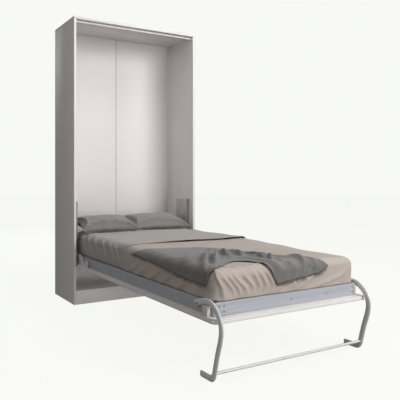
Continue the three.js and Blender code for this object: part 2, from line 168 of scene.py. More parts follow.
# ---- shader groups -------------------------------------------------------------------------------
class Group:
    """A shader node group under construction."""

    def __init__(self, name, inputs, outputs):
        self.tree = bpy.data.node_groups.new(name, "ShaderNodeTree")
        for label, kind, default in inputs:
            socket = self.tree.interface.new_socket(name=label, in_out="INPUT", socket_type=kind)
            socket.default_value = default
        for label, kind in outputs:
            self.tree.interface.new_socket(name=label, in_out="OUTPUT", socket_type=kind)
        self.source = self.tree.nodes.new("NodeGroupInput").outputs
        self.sink = self.tree.nodes.new("NodeGroupOutput").inputs

    def node(self, kind, **inputs):
        node = self.tree.nodes.new(kind)
        for label, value in inputs.items():
            self.feed(node.inputs[label.replace("_", " ")], value)
        return node

    def feed(self, socket, value):
        if isinstance(value, bpy.types.NodeSocket):
            self.tree.links.new(value, socket)
        else:
            socket.default_value = value

    def maths(self, operation, *values, clamp=False):
        node = self.tree.nodes.new("ShaderNodeMath")
        node.operation = operation
        node.use_clamp = clamp
        for socket, value in zip(node.inputs, values):
            self.feed(socket, value)
        return node.outputs[0]

    def mix(self, factor, a, b, blend="MIX"):
        node = self.tree.nodes.new("ShaderNodeMix")
        node.data_type = "RGBA"
        node.blend_type = blend
        for index, value in ((0, factor), (6, a), (7, b)):
            self.feed(node.inputs[index], value)
        return node.outputs[2]

    def noise(self, vector, scale, detail=3.0, rough=0.55):
        node = self.node("ShaderNodeTexNoise", Vector=vector, Scale=scale, Detail=detail)
        node.inputs["Roughness"].default_value = rough
        return node.outputs["Fac"]

    def place(self):
        return self.tree.nodes.new("ShaderNodeTexCoord").outputs["Object"]

    def shade(self, value, low, high, to_low=0.0, to_high=1.0):
        node = self.tree.nodes.new("ShaderNodeMapRange")
        for index, entry in enumerate((value, low, high, to_low, to_high)):
            self.feed(node.inputs[index], entry)
        return node.outputs[0]


COLOUR, VALUE = "NodeSocketColor", "NodeSocketFloat"


def build_mottle():
    """Slow drift of tone and a fine speckle, for anything painted or pressed."""
    g = Group("mottle", [("Color", COLOUR, (1, 1, 1, 1)), ("Drift", VALUE, 0.05), ("Speckle", VALUE, 0.02),
                         ("Grain", VALUE, 900.0)], [("Color", COLOUR), ("Height", VALUE)])
    place = g.place()
    slow = g.shade(g.noise(place, 2.3, 4.0), 0.3, 0.7)
    fine = g.noise(place, g.source["Grain"], 2.0)
    drift = g.maths("MULTIPLY", g.maths("SUBTRACT", slow, 0.5), g.source["Drift"])
    speck = g.maths("MULTIPLY", g.maths("SUBTRACT", fine, 0.5), g.source["Speckle"])
    level = g.maths("ADD", g.maths("ADD", drift, speck), 1.0)
    grey = g.node("ShaderNodeCombineColor", Red=level, Green=level, Blue=level).outputs[0]
    g.feed(g.sink["Color"], g.mix(1.0, g.source["Color"], grey, "MULTIPLY"))
    g.feed(g.sink["Height"], fine)
    return g.tree


def build_weave():
    """Plain weave laid on whichever plane the cloth faces, with slubs and a worn, faded drift."""
    g = Group("weave", [("Color", COLOUR, (1, 1, 1, 1)), ("Threads per metre", VALUE, 700.0),
                        ("Slub", VALUE, 0.25), ("Depth", VALUE, 0.2), ("Fade", VALUE, 0.1)],
              [("Color", COLOUR), ("Height", VALUE)])
    split = g.node("ShaderNodeSeparateXYZ", Vector=g.place())
    x, y, z = split.outputs
    normal = g.node("ShaderNodeSeparateXYZ",
                    Vector=g.tree.nodes.new("ShaderNodeNewGeometry").outputs["Normal"])
    faces_x = g.maths("GREATER_THAN", g.maths("ABSOLUTE", normal.outputs[0]), 0.62)
    faces_y = g.maths("GREATER_THAN", g.maths("ABSOLUTE", normal.outputs[1]), 0.62)

    def pick(mask, when, otherwise):
        return g.maths("ADD", g.maths("MULTIPLY", mask, when),
                       g.maths("MULTIPLY", g.maths("SUBTRACT", 1.0, mask), otherwise))

    across = pick(faces_x, y, x)
    along = pick(faces_x, z, pick(faces_y, z, y))
    turn = g.maths("MULTIPLY", g.source["Threads per metre"], math.pi)
    warp = g.maths("SINE", g.maths("MULTIPLY", across, turn))
    weft = g.maths("SINE", g.maths("MULTIPLY", along, turn))
    cross = g.maths("MULTIPLY", warp, weft)
    stretched = g.node("ShaderNodeCombineXYZ", X=g.maths("MULTIPLY", across, 0.12), Y=along, Z=0.0)
    slub = g.noise(stretched.outputs[0], 260.0, 3.0)
    fade = g.shade(g.noise(g.place(), 4.5, 4.0), 0.3, 0.7, -0.5, 0.5)
    threads = g.maths("MULTIPLY", cross, g.maths("MULTIPLY", g.source["Depth"], 0.35))
    slubs = g.maths("MULTIPLY", g.maths("SUBTRACT", slub, 0.5), g.source["Slub"])
    faded = g.maths("MULTIPLY", fade, g.source["Fade"])
    level = g.maths("ADD", 1.0, g.maths("ADD", threads, g.maths("ADD", slubs, faded)))
    grey = g.node("ShaderNodeCombineColor", Red=level, Green=level, Blue=level).outputs[0]
    g.feed(g.sink["Color"], g.mix(1.0, g.source["Color"], grey, "MULTIPLY"))
    g.feed(g.sink["Height"], g.maths("ADD", cross, g.maths("MULTIPLY", slub, 1.5)))
    return g.tree


def build_drawn_metal():
    """Fine lines left by rolling or grinding, along the length of the piece."""
    g = Group("drawn_metal", [("Color", COLOUR, (1, 1, 1, 1)), ("Roughness", VALUE, 0.35),
                              ("Spread", VALUE, 0.15), ("Scale", VALUE, 60.0)],
              [("Color", COLOUR), ("Roughness", VALUE), ("Height", VALUE)])
    split = g.node("ShaderNodeSeparateXYZ", Vector=g.place())
    x, y, z = split.outputs
    streaks = g.node("ShaderNodeCombineXYZ", X=x, Y=g.maths("MULTIPLY", y, 14.0),
                     Z=g.maths("MULTIPLY", z, 0.4))
    lines = g.noise(streaks.outputs[0], g.source["Scale"], 4.0, 0.7)
    spots = g.shade(g.noise(g.place(), 35.0, 3.0), 0.35, 0.65, -0.5, 0.5)
    uneven = g.maths("ADD", g.maths("SUBTRACT", lines, 0.5), spots)
    level = g.maths("ADD", 1.0, g.maths("MULTIPLY", uneven, 0.14))
    grey = g.node("ShaderNodeCombineColor", Red=level, Green=level, Blue=level).outputs[0]
    g.feed(g.sink["Color"], g.mix(1.0, g.source["Color"], grey, "MULTIPLY"))
    g.feed(g.sink["Roughness"], g.maths("ADD", g.source["Roughness"],
           g.maths("MULTIPLY", spots, g.source["Spread"]), clamp=True))
    g.feed(g.sink["Height"], lines)
    return g.tree


def build_wood_grain():
    """Long straight grain with pores, along X."""
    g = Group("wood_grain", [("Light", COLOUR, (1, 1, 1, 1)), ("Dark", COLOUR, (0.5, 0.5, 0.5, 1))],
              [("Color", COLOUR), ("Height", VALUE)])
    split = g.node("ShaderNodeSeparateXYZ", Vector=g.place())
    x, y, z = split.outputs
    long_way = g.node("ShaderNodeCombineXYZ", X=g.maths("MULTIPLY", x, 0.06), Y=y, Z=z)
    rings = g.noise(long_way.outputs[0], 120.0, 6.0, 0.65)
    pores = g.noise(long_way.outputs[0], 900.0, 2.0)
    g.feed(g.sink["Color"], g.mix(g.shade(g.maths("ADD", rings, g.maths("MULTIPLY", pores, 0.25)), 0.45, 0.8),
                                  g.source["Light"], g.source["Dark"]))
    g.feed(g.sink["Height"], pores)
    return g.tree


MOTTLE = build_mottle()
WEAVE = build_weave()
DRAWN_METAL = build_drawn_metal()
WOOD_GRAIN = build_wood_grain()


# ---- materials -----------------------------------------------------------------------------------
def start_material(name, roughness, group, settings, bump, depth, **uniform):
    """Principled material whose colour and relief come from one group."""
    material = bpy.data.materials.new(name)
    material.use_nodes = True
    nodes, links = material.node_tree.nodes, material.node_tree.links
    shader = nodes["Principled BSDF"]
    shader.inputs["Roughness"].default_value = roughness
    for label, value in uniform.items():
        shader.inputs[label.replace("_", " ")].default_value = value
    effect = nodes.new("ShaderNodeGroup")
    effect.node_tree = group
    for label, value in settings.items():
        effect.inputs[label].default_value = value
    links.new(effect.outputs["Color"], shader.inputs["Base Color"])
    if "Roughness" in effect.outputs:
        links.new(effect.outputs["Roughness"], shader.inputs["Roughness"])
    relief = nodes.new("ShaderNodeBump")
    relief.inputs["Strength"].default_value = bump
    relief.inputs["Distance"].default_value = depth
    links.new(effect.outputs["Height"], relief.inputs["Height"])
    links.new(relief.outputs["Normal"], shader.inputs["Normal"])
    return material


def painted(name, color, roughness, drift=0.05, speckle=0.03, grain=900.0, bump=0.15, **uniform):
    return start_material(name, roughness, MOTTLE, {
        "Color": (*color, 1), "Drift": drift, "Speckle": speckle, "Grain": grain}, bump, 0.2 * MM, **uniform)


def cloth(name, color, threads, slub, depth, fade, sheen, bump=0.5):
    return start_material(name, 0.88, WEAVE, {
        "Color": (*color, 1), "Threads per metre": threads, "Slub": slub, "Depth": depth, "Fade": fade},
        bump, 0.5 * MM, Sheen_Weight=sheen, Sheen_Roughness=0.6, Specular_IOR_Level=0.15)


def metal(name, color, roughness, spread, scale, metallic):
    return start_material(name, roughness, DRAWN_METAL, {
        "Color": (*color, 1), "Roughness": roughness, "Spread": spread, "Scale": scale},
        0.12, 0.1 * MM, Metallic=metallic)


MATERIALS = {
    "cabinet_board": painted("cabinet_board", (0.74, 0.715, 0.71), 0.5, 0.03, 0.02, 1400.0, 0.10),
    "front_board": painted("front_board", (0.72, 0.70, 0.685), 0.38, 0.03, 0.02, 1400.0, 0.08,
                           Coat_Weight=0.25, Coat_Roughness=0.25),
    "frame_steel": painted("frame_steel", (0.365, 0.385, 0.425), 0.42, 0.05, 0.05, 700.0, 0.25,
                           Coat_Weight=0.2, Coat_Roughness=0.3),
    "white_steel": painted("white_steel", (0.66, 0.64, 0.62), 0.36, 0.04, 0.05, 800.0, 0.25,
                           Coat_Weight=0.35, Coat_Roughness=0.22),
    "block_white": painted("block_white", (0.64, 0.61, 0.56), 0.48, 0.06, 0.03, 500.0, 0.2),
    # Near black: partly the black paint of the spring tubes, partly painted shade for the dark slit at the
    # open front of the spring housings.
    "black_tube": painted("black_tube", (0.02, 0.02, 0.022), 0.3, 0.1, 0.1, 600.0, 0.1, Coat_Weight=0.5),
    "plated_steel": metal("plated_steel", (0.50, 0.49, 0.475), 0.42, 0.2, 70.0, 0.55),
    "zinc": metal("zinc", (0.46, 0.46, 0.45), 0.34, 0.25, 160.0, 0.9),
    "seam_grey": painted("seam_grey", (0.16, 0.155, 0.15), 0.8, 0.1, 0.1),
    # Near black: the rail bolts' own dark finish, and painted shade on the strut anchor pins.
    "dark_bolt": metal("dark_bolt", (0.06, 0.06, 0.065), 0.5, 0.2, 200.0, 0.6),
    "beech": start_material("beech", 0.6, WOOD_GRAIN, {
        "Light": (0.64, 0.48, 0.31, 1), "Dark": (0.47, 0.31, 0.17, 1)}, 0.3, 0.3 * MM),
    "ticking": cloth("ticking", (0.74, 0.73, 0.70), 500.0, 0.12, 0.25, 0.05, 0.2),
    "sheet_grey": cloth("sheet_grey", (0.40, 0.38, 0.355), 900.0, 0.16, 0.18, 0.05, 0.15),
    "duvet_taupe": cloth("duvet_taupe", (0.44, 0.385, 0.345), 800.0, 0.2, 0.2, 0.08, 0.2),
    "throw_grey": cloth("throw_grey", (0.142, 0.141, 0.139), 420.0, 0.35, 0.4, 0.14, 0.35, 0.8),
    "pillow_grey": cloth("pillow_grey", (0.20, 0.198, 0.195), 650.0, 0.4, 0.3, 0.1, 0.3),
}


# ---- mesh helpers --------------------------------------------------------------------------------
def new_object(name, mesh, body, slot, material=None, stands_for=()):
    piece = bpy.data.objects.new(name, mesh)
    bpy.context.scene.collection.objects.link(piece)
    mesh.materials.clear()
    mesh.materials.append(MATERIALS[material or slot])
    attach(piece, body)
    if stands_for:
        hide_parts(*stands_for)
    return piece


def smooth(mesh, angle=35):
    mesh.shade_smooth()
    mesh.set_sharp_from_angle(angle=math.radians(angle))


def eased_copy(node, ease, merge):
    """The CAD piece with its edges eased by a small radius. Plain boards have their flats merged first."""
    work = bmesh.new()
    work.from_mesh(frame["nodes"][node].data)
    bmesh.ops.remove_doubles(work, verts=work.verts, dist=0.01 * MM)
    if merge:
        bmesh.ops.dissolve_limit(work, angle_limit=math.radians(0.6), verts=work.verts, edges=work.edges)
    if ease:
        sharp = [e for e in work.edges if len(e.link_faces) == 2
                 and e.calc_face_angle() > math.radians(48)]
        bmesh.ops.bevel(work, geom=sharp, offset=ease, offset_type="OFFSET", segments=2, profile=0.5,
                        affect="EDGES", clamp_overlap=True)
    bmesh.ops.triangulate(work, faces=[f for f in work.faces if len(f.verts) > 4])
    mesh = bpy.data.meshes.new(node + "_finished")
    work.to_mesh(mesh)
    work.free()
    smooth(mesh, 40)
    # Painted shade: the strut anchor pins are made near black to stand in for the dark hole round each pin in
    # the housing cover.
    material = "dark_bolt" if node.startswith("strut_anchor_pin") else None
    return new_object(node + "_finished", mesh, BODY_OF[node], SLOT_OF[node], material, (node,))


EASED = {
    "side_panel": 0.8, "top_panel": 0.8, "plinth_board": 0.6, "top_stop_strip": 0.6, "back_panel": 1.4,
    "lower_fixing_rail": 0.6, "upper_fixing_rail": 0.6, "back_batten": 0.6, "pivot_plate": 0.4,
    "pivot_pin": 0.6, "housing_cover": 0.5, "strut_anchor_pin": 0.4, "strut_tube": 0.4, "strut_rod": 0.3,
    "front_panel": 0.0, "deck_panel": 0.8, "side_rail": 0.9, "foot_rail": 0.6, "head_rail": 0.9,
    "corner_plate": 0.4, "hinge_bracket": 0.6, "strut_pin": 0.3, "hinge_block": 1.2,
    "leg_stop_block": 1.6, "leg_pivot_bolt": 0.4, "slat": 1.2,
}


def finish_rigid_pieces():
    for node in sorted(frame["nodes"]):
        stem = node.replace("_left", "").replace("_right", "")
        if stem.startswith("slat_"):
            stem = "slat"
        if stem in EASED:
            eased_copy(node, EASED[stem] * MM, SLOT_OF[node] in ("cabinet_board", "beech", "block_white"))


finish_rigid_pieces()


# ---- leg frame -----------------------------------------------------------------------------------
LEG_ROUTE = ((-24, -5), (22, 9), (67, 20), (114, 17), (156, -9), (184, -47), (195, -86), (189, -134),
             (168, -200), (151, -262), (139, -306), (122, -327), (92, -330.7), (32, -330.7))
LEG_BAR_OUT, LEG_BAR_UP = 141, -300


def catmull_rom(points, steps):
    """Points along a smooth curve through the given ones."""
    points = [Vector(p) for p in points]
    padded = [points[0] * 2 - points[1], *points, points[-1] * 2 - points[-2]]
    line = []
    for i in range(1, len(padded) - 2):
        a, b, c, d = padded[i - 1:i + 3]
        for k in range(steps):
            t = k / steps
            line.append(0.5 * ((2 * b) + (c - a) * t + (2 * a - 5 * b + 4 * c - d) * t * t
                               + (3 * b - a - 3 * c + d) * t ** 3))
    line.append(points[-1])
    return line


def sweep(name, line, side, across, deep, sides=20, dome=6):
    """Oval bar along a line: `across` is its half width along the vector `side`, `deep` the other."""
    rings = []
    count = len(line)
    tangents = [(line[min(i + 1, count - 1)] - line[max(i - 1, 0)]).normalized() for i in range(count)]

    def ring(centre, tangent, scale):
        out = side.cross(tangent).normalized()
        return [centre + (side * (across * math.cos(a)) + out * (deep * math.sin(a))) * scale
                for a in (math.tau * k / sides for k in range(sides))]

    for k in range(dome):
        turn = math.pi / 2 * (1 - k / dome)
        rings.append(ring(line[0] - tangents[0] * (across * math.sin(turn)), tangents[0],
                          max(math.cos(turn), 0.02)))
    rings += [ring(c, t, 1) for c, t in zip(line, tangents)]
    for k in range(dome):
        turn = math.pi / 2 * (k + 1) / dome
        rings.append(ring(line[-1] + tangents[-1] * (across * math.sin(turn)), tangents[-1],
                          max(math.cos(turn), 0.02)))
    verts = [v for r in rings for v in r]
    faces = []
    for start in range(0, (len(rings) - 1) * sides, sides):
        for k in range(sides):
            beside = (k + 1) % sides
            faces.append((start + k, start + beside, start + sides + beside, start + sides + k))
    faces.append(tuple(range(sides))[::-1])
    faces.append(tuple((len(rings) - 1) * sides + k for k in range(sides)))
    mesh = bpy.data.meshes.new(name)
    mesh.from_pydata(verts, [], faces)
    work = bmesh.new()
    work.from_mesh(mesh)
    bmesh.ops.recalc_face_normals(work, faces=work.faces)
    work.to_mesh(mesh)
    work.free()
    mesh.shade_smooth()
    return mesh


def build_leg_frame():
    bolt_lo, bolt_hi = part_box("leg_pivot_bolt_right")
    pivot = (bolt_lo + bolt_hi) / 2
    for side in ("left", "right"):
        lo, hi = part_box("leg_" + side)
        middle = (lo.x + hi.x) / 2
        half = (hi.x - lo.x) / 2
        line = catmull_rom([(middle, pivot.y - out * MM, pivot.z + up * MM) for out, up in LEG_ROUTE], 7)
        line[0] = line[0].lerp(line[1], 0.6)
        mesh = sweep("leg_tube_" + side, line, Vector((1, 0, 0)), 1.12 * half, 2.45 * half)
        new_object("leg_tube_" + side, mesh, "leg_frame", "white_steel", stands_for=("leg_" + side,))
    lo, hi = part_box("leg_crossbar")
    bar_y, bar_z, radius = (lo.y + hi.y) / 2, (lo.z + hi.z) / 2, (hi.z - lo.z) / 2
    line = [Vector((lo.x + (hi.x - lo.x) * k / 24, bar_y, bar_z)) for k in range(25)]
    mesh = sweep("leg_crossbar_tube", line, Vector((0, 1, 0)), 1.2 * radius, 1.2 * radius)
    new_object("leg_crossbar_tube", mesh, "leg_frame", "white_steel", stands_for=("leg_crossbar",))


def build_rail_bolts():
    """Small dark bolts in the foot rail's holes."""
    lo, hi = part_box("foot_rail")
    for k, (x, up) in enumerate(((-0.449, 46), (-0.421, 46), (-0.421, 18), (0.0, 30), (0.248, 30),
                                 (0.449, 46), (0.449, 18))):
        line = [Vector((x, lo.y + 2.6 * MM - step * 1.1 * MM, lo.z + up * MM)) for step in range(4)]
        mesh = sweep("rail_bolt", line, Vector((1, 0, 0)), 3.4 * MM, 3.4 * MM, 16, 1)
        new_object(f"rail_bolt_{k + 1}", mesh, "bed", "zinc", "dark_bolt")


def build_back_seam():
    """Dark joint between the two skins of the cabinet's back."""
    left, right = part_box("back_panel_left"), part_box("back_panel_right")
    half, front = 1.9 * MM, right[0].y - 0.25 * MM
    seam = bmesh.new()
    bmesh.ops.create_cube(seam, size=1)
    low, high = Vector((-half, front, right[0].z)), Vector((half, front + 0.5 * MM, left[1].z))
    for vertex in seam.verts:
        vertex.co = Vector((low[i] if vertex.co[i] < 0 else high[i]) for i in range(3))
    mesh = bpy.data.meshes.new("back_seam")
    seam.to_mesh(mesh)
    seam.free()
    new_object("back_seam", mesh, "cabinet", "cabinet_board", "seam_grey")


build_leg_frame()
build_rail_bolts()
build_back_seam()


# ---- soft goods: shared shapes -------------------------------------------------------------------
def waves(points, seed, count, low, high):
    """Smooth uneven field: a seeded sum of slanting waves, about -1 to 1."""
    rng = np.random.default_rng(seed)
    field = np.zeros(len(points))
    for _ in range(count):
        direction = rng.normal(size=3)
        direction *= math.tau / rng.uniform(low, high) / np.linalg.norm(direction)
        field += np.sin(points @ direction + rng.uniform(0, math.tau))
    return field / math.sqrt(count)


def fold(points, route, width, height, fade=0.3):
    """Raised fold along a broken line, dying away at both ends."""
    route = np.array(route, float)
    lengths = np.linalg.norm(np.diff(route, axis=0), axis=1)
    total, run = lengths.sum(), 0.0
    nearest = np.full(len(points), np.inf)
    place = np.zeros(len(points))
    for a, b, length in zip(route[:-1], route[1:], lengths):
        t = np.clip((points - a) @ (b - a) / length ** 2, 0, 1)
        away = np.linalg.norm(points - a - t[:, None] * (b - a), axis=1)
        closer = away < nearest
        nearest[closer] = away[closer]
        place[closer] = (run + t[closer] * length) / total
        run += length
    ends = np.clip(np.minimum(place, 1 - place) / fade, 0, 1)
    return height * np.exp(-(nearest / width) ** 2) * ends * ends * (3 - 2 * ends)


def ramp(value, low, high):
    t = np.clip((value - low) / (high - low), 0, 1)
    return t * t * (3 - 2 * t)


def rounded_grid(lo, hi, radius, cell, open_sides=()):
    """Box of square cells with rounded edges. open_sides leaves out faces, such as "-z" or "+y".
    Gives vertices, their outward directions and faces."""
    lo, hi = np.array(lo, float), np.array(hi, float)
    counts = [max(2, round((hi[i] - lo[i]) / cell)) for i in range(3)]
    inner_lo, inner_hi = lo + radius, hi - radius
    for axis in range(3):
        if "-" + "xyz"[axis] in open_sides:
            inner_lo[axis] = lo[axis]
        if "+" + "xyz"[axis] in open_sides:
            inner_hi[axis] = hi[axis]
    index, spots, faces = {}, [], []

    def spot(key):
        if key not in index:
            index[key] = len(spots)
            spots.append([lo[i] + (hi[i] - lo[i]) * key[i] / counts[i] for i in range(3)])
        return index[key]

    for axis in range(3):
        u, v = (axis + 1) % 3, (axis + 2) % 3
        for end, sign in ((0, "-"), (counts[axis], "+")):
            if sign + "xyz"[axis] in open_sides:
                continue
            for i in range(counts[u]):
                for j in range(counts[v]):
                    corners = []
                    for di, dj in ((0, 0), (1, 0), (1, 1), (0, 1)):
                        key = [0, 0, 0]
                        key[axis], key[u], key[v] = end, i + di, j + dj
                        corners.append(spot(tuple(key)))
                    faces.append(corners if sign == "+" else corners[::-1])
    spots = np.array(spots)
    core = np.clip(spots, inner_lo, inner_hi)
    out = spots - core
    out /= np.maximum(np.linalg.norm(out, axis=1), 1e-9)[:, None]
    return core + out * radius, out, faces


def cloth_mesh(name, points, faces, thickness=0.0, subdivide=1):
    """Mesh from points, thickened inwards and subdivided, with nothing left as a modifier."""
    mesh = bpy.data.meshes.new(name)
    mesh.from_pydata([tuple(p) for p in points], [], faces)
    piece = bpy.data.objects.new(name, mesh)
    bpy.context.scene.collection.objects.link(piece)
    if thickness:
        shell = piece.modifiers.new("thickness", "SOLIDIFY")
        shell.thickness = thickness
        shell.offset = -1
    if subdivide:
        finer = piece.modifiers.new("finer", "SUBSURF")
        finer.levels = finer.render_levels = subdivide
    return baked(piece)


def baked(piece):
    """The piece's mesh with its modifiers applied; the piece itself is removed."""
    bpy.context.view_layer.update()
    evaluated = piece.evaluated_get(bpy.context.evaluated_depsgraph_get())
    mesh = bpy.data.meshes.new_from_object(evaluated)
    mesh.name = piece.name + "_shape"
    bpy.data.objects.remove(piece)
    mesh.shade_smooth()
    return mesh


# ---- mattress ------------------------------------------------------------------------------------
def build_mattress():
    lo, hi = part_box("mattress")
    points, out, faces = rounded_grid(lo, hi, 34 * MM, 22 * MM)
    quilt = np.abs(np.sin(points[:, 0] * 26)) * np.abs(np.sin(points[:, 1] * 26))
    points = sunk(points + out * (np.abs(out[:, 2]) * (quilt - 1) * 3 * MM)[:, None], lo, hi)
    points[:, 2] -= 5 * MM * (points[:, 2] > lo.z + 0.1)
    mesh = cloth_mesh("mattress_body", points, faces)
    piece = new_object("mattress_body", mesh, "bed", "ticking", stands_for=("mattress",))
    inset = 22 * MM
    corner = inset + 12 * MM
    for label, z in (("upper", hi.z - 42 * MM), ("lower", lo.z + 9 * MM)):
        line = []
        for cx, cy, start in ((hi.x, hi.y, 0), (lo.x, hi.y, 90), (lo.x, lo.y, 180), (hi.x, lo.y, 270)):
            centre = Vector((cx - math.copysign(corner, cx), cy - math.copysign(corner, cy), z))
            for k in range(9):
                a = math.radians(start + 90 * k / 8)
                line.append(centre + Vector((math.cos(a), math.sin(a), 0)) * inset)
        line.append(line[0])
        cord_mesh = sweep("piping_" + label, line, Vector((0, 0, 1)), 3 * MM, 3 * MM, 8, 2)
        new_object("mattress_piping_" + label, cord_mesh, "bed", "ticking")


# ---- duvet and turned-back sheet -----------------------------------------------------------------
COVER_CELL = 6.5 * MM
COVER_EDGE = 46 * MM                                # radius of the bedding's upper edges
CROWN = 3 * MM
WALL_LIMIT = 0.479                                  # room left beside the bed for the folded legs
SIDE_X, FOOT_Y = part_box("duvet")[0].xy              # left wall of the bedding and its foot wall


def settle(y):
    """How far the bedding has sunk below its fullest height, most at the foot."""
    return 8 * MM + 7 * MM * ramp(-y, 0.6, 1.7)


def sunk(points, lo, hi):
    """The points with the top let down by the bedding's settling and the lower edge left in place."""
    share = np.clip((points[:, 2] - lo.z) / (hi.z - lo.z), 0, 1)
    points[:, 2] -= settle(points[:, 1]) * share
    return points


def side_point(y, z):
    return (SIDE_X, y, z)


def foot_point(x, z):
    return (x, FOOT_Y, z)


# across the foot: where each gather starts at the rail, bends, meets the top edge and dies away
GATHERS = ((-0.345, -0.365, -0.415, -0.47), (-0.31, -0.33, -0.38, -0.44), (-0.27, -0.29, -0.35, -0.41),
           (-0.24, -0.24, -0.29, -0.36), (-0.22, -0.20, -0.23, -0.31), (-0.19, -0.16, -0.19, -0.27),
           (-0.14, -0.115, -0.15, -0.22))


def duvet_relief(points, out, lo, hi):
    """How far the duvet stands out of its plain form: crown, loft, gathers at the foot, soft folds."""
    up = np.clip(out[:, 2], 0, 1)
    wall = 1 - up
    height = (points[:, 2] - lo.z) / (hi.z - lo.z)
    half = hi.x
    crown = CROWN * (1 - np.abs(points[:, 0] / half) ** 2.4)
    crown *= ramp(points[:, 1], lo.y, lo.y + 0.2)
    relief = up * crown + wall * 3 * MM * np.sin(np.clip(height, 0, 1) * math.pi)
    relief -= 9 * MM * up * ramp(points[:, 0], 0.18, 0.45) * ramp(-points[:, 1], 0.9, 1.5)
    relief += waves(points, 3, 9, 0.25, 0.6) * 2.2 * MM
    relief += waves(points * np.array([1, 0.6, 1]), 4, 12, 0.07, 0.16) * 0.9 * MM
    for low, middle, high, top in GATHERS:           # gathers that fan down to the foot rail
        relief += fold(points, [foot_point(low, 0.36), foot_point(middle, 0.42), foot_point(high, 0.48),
                                (high - 0.04, -1.70, 0.54), (top, -1.60, 0.55)], 8.5 * MM, 10 * MM, 0.25)
    for low, high, rise in ((-0.12, 0.0, 0.44), (-0.03, 0.07, 0.44), (0.01, 0.14, 0.43), (0.12, 0.36, 0.42)):
        relief += fold(points, [foot_point(low, 0.365), foot_point(high, rise),
                                foot_point(high + 0.08, rise + 0.06)], 12 * MM, 9 * MM)
    relief += fold(points, [foot_point(-0.415, 0.36), foot_point(-0.425, 0.43), (-0.455, -1.735, 0.50),
                            (-0.44, -1.70, 0.54)], 7 * MM, 11 * MM, 0.2)
    relief -= fold(points, [foot_point(-0.445, 0.37), foot_point(-0.45, 0.43), (-0.466, -1.735, 0.47)],
                   8 * MM, 9 * MM, 0.2)
    for y in (-0.90, -1.02, -1.17, -1.30, -1.47):    # shallow slanting folds down the left side
        relief += fold(points, [side_point(y + 0.10, 0.365), side_point(y, 0.41), side_point(y - 0.09, 0.47)],
                       13 * MM, 8 * MM)
        relief += fold(points * np.array([-1, 1, 1]), [side_point(y + 0.04, 0.365), side_point(y, 0.42),
                                                       side_point(y - 0.05, 0.47)], 16 * MM, 4.5 * MM)
    corner = np.linalg.norm(points - np.array([hi.x, lo.y, hi.z - 0.06]), axis=1)
    relief += 7 * MM * np.exp(-(corner / 0.09) ** 2)
    hem = 1 - ramp(points[:, 2], lo.z, lo.z + 0.05)
    relief += hem * wall * (2 + 3 * np.sin(points[:, 1] * 41 + points[:, 0] * 37)) * MM
    return relief


def build_duvet():
    lo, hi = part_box("duvet")
    head = hi.y + 6 * MM
    points, out, faces = rounded_grid(lo, (hi.x, head, hi.z), COVER_EDGE, COVER_CELL, ("-z", "+y"))
    relief = duvet_relief(points, out, lo, hi)
    tuck = ramp(points[:, 1], head - 0.03, head)
    points = sunk(points + out * (relief - tuck * 6 * MM)[:, None], lo, hi)
    points[:, 0] = np.clip(points[:, 0], -WALL_LIMIT, WALL_LIMIT)
    mesh = cloth_mesh("duvet_cover", points, faces, 11 * MM, 0)
    piece = new_object("duvet_cover", mesh, "bed", "duvet_taupe", stands_for=("duvet",))


def sheet_relief(points, out, lo, hi):
    up = np.clip(out[:, 2], 0, 1)
    wall = 1 - up
    height = (points[:, 2] - lo.z) / (hi.z - lo.z)
    crown = CROWN * (1 - np.abs(points[:, 0] / hi.x) ** 2.4)
    relief = up * crown + wall * 3 * MM * np.sin(np.clip(height, 0, 1) * math.pi)
    relief += waves(points, 8, 8, 0.22, 0.5) * 2.4 * MM
    relief += waves(points, 9, 12, 0.06, 0.14) * 0.8 * MM
    for y, slant in ((-0.03, 0.06), (-0.14, 0.07), (-0.26, 0.09), (-0.40, 0.09), (-0.52, 0.11),
                     (-0.60, 0.10)):
        for mirror in (1, -1):
            relief += fold(points * np.array([mirror, 1, 1]),
                           [(-0.43, y + 0.04, 0.53), side_point(y, 0.49), side_point(y - slant * 0.6, 0.42),
                            side_point(y - slant, 0.365)], 13 * MM, 14 * MM, 0.25)
    for start, end, width in (((-0.36, -0.72), (0.02, -0.50), 26), ((-0.42, -0.50), (-0.16, -0.36), 22),
                              ((-0.10, -0.66), (0.30, -0.52), 30), ((0.05, -0.42), (0.40, -0.34), 26),
                              ((-0.30, -0.28), (0.00, -0.16), 24)):
        middle = ((start[0] + end[0]) / 2, (start[1] + end[1]) / 2 + 0.02)
        relief += fold(points, [(*start, hi.z), (*middle, hi.z + 0.015), (*end, hi.z + 0.015)],
                       width * MM, 6 * MM, 0.45)
    return relief


def build_sheet():
    lo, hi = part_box("bed_sheet")
    edge = lo.y - 26 * MM
    points, out, faces = rounded_grid((lo.x + 3 * MM, edge, lo.z), (hi.x - 3 * MM, hi.y, hi.z + 4 * MM),
                                      COVER_EDGE, COVER_CELL, ("-z", "-y", "+y"))
    relief = sheet_relief(points, out, lo, hi)
    lift = 1 - ramp(points[:, 1], edge, edge + 0.14)
    points = sunk(points + out * (relief + lift * 9 * MM)[:, None], lo, hi)
    points[:, 0] = np.clip(points[:, 0], -WALL_LIMIT, WALL_LIMIT)
    turned = (1 - ramp(points[:, 1], edge, edge + 0.16)) * np.clip(out[:, 2], 0, 1)
    points[:, 1] -= turned * (30 + 14 * np.sin(points[:, 0] * 6 + 0.6)) * MM
    mesh = cloth_mesh("turned_sheet", points, faces, 3.5 * MM, 0)
    piece = new_object("turned_sheet", mesh, "bed", "sheet_grey", stands_for=("bed_sheet",))


# ---- throw ---------------------------------------------------------------------------------------
def roll(distance, edge, radius):
    """Where a point of a sheet lands that runs `distance` out and bends down over a rounded edge."""
    arc = radius * math.pi / 2
    flat = np.minimum(distance, edge - radius)
    past = np.clip(distance - (edge - radius), 0, None)
    turn = np.minimum(past, arc) / radius
    return flat + radius * np.sin(turn), radius * (1 - np.cos(turn)) + np.clip(past - arc, 0, None)


